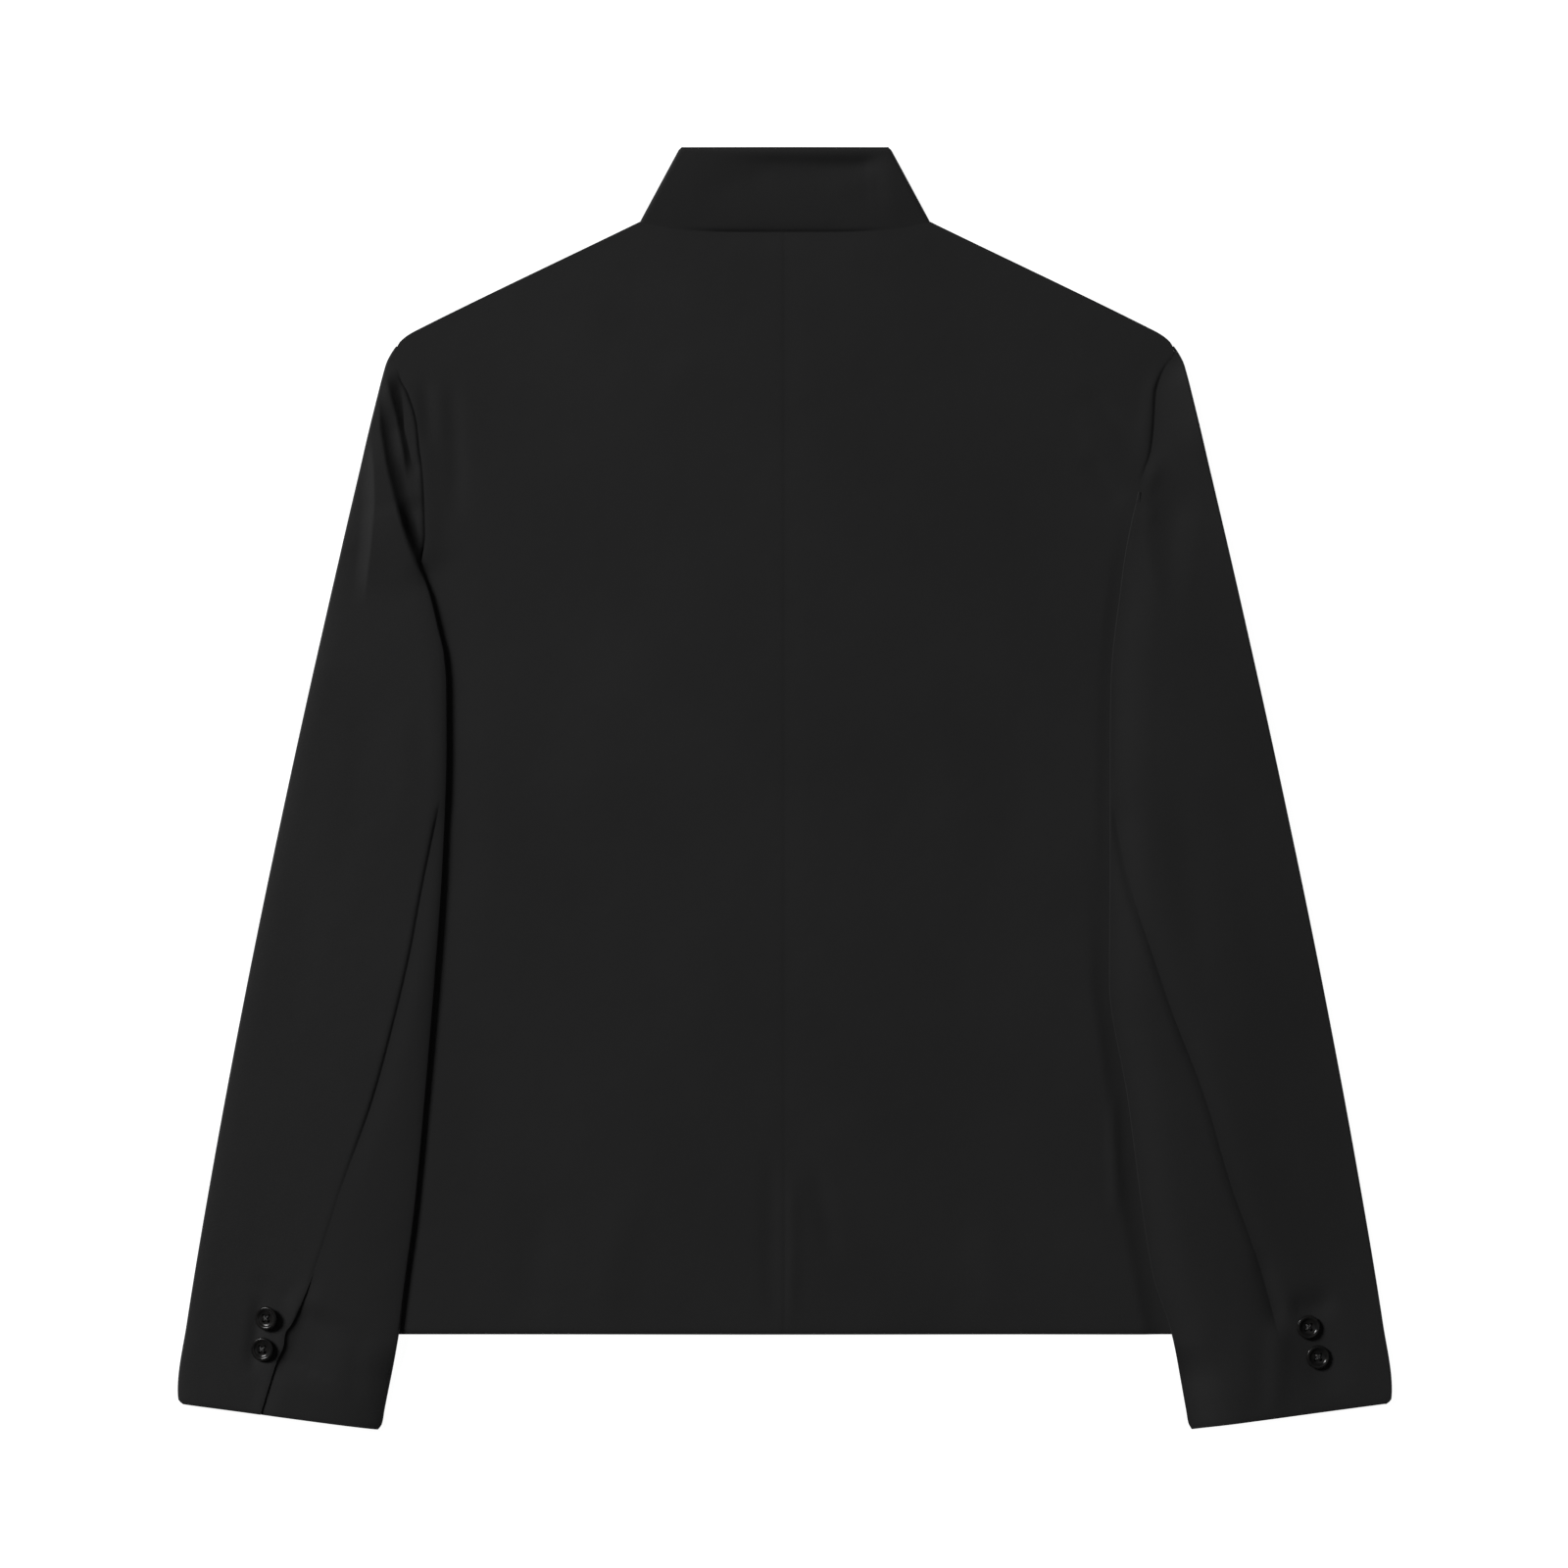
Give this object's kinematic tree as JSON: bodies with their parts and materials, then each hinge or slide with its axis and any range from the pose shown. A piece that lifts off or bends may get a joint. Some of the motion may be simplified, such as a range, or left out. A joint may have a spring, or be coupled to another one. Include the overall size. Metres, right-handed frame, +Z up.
{
  "type": "stand collar blazer laid face down",
  "caption": "Black wool stand collar blazer laid flat, back uppermost, with its sleeves over its sides and buttoned sleeve vents.",
  "frame": {"origin": "on the surface it lies on, below the middle of its outline", "axes": "+Z up from the surface, +Y from the hem to the collar, +X towards the wearer's right sleeve"},
  "size_m": [0.7602, 0.8029, 0.0123],
  "materials": {
    "cloth": "matte black wool suiting, fine twill",
    "button": "polished black"
  },
  "bodies": {
    "root": {"back_left": "cloth", "back_right": "cloth", "front_left": "cloth", "front_right": "cloth", "collar": "cloth", "sleeve_left_top": "cloth", "sleeve_left_under": "cloth", "sleeve_right_top": "cloth", "sleeve_right_under": "cloth", "cuff_button_left_upper": "button", "cuff_button_left_lower": "button", "cuff_button_right_upper": "button", "cuff_button_right_lower": "button"}
  },
  "joints": []
}
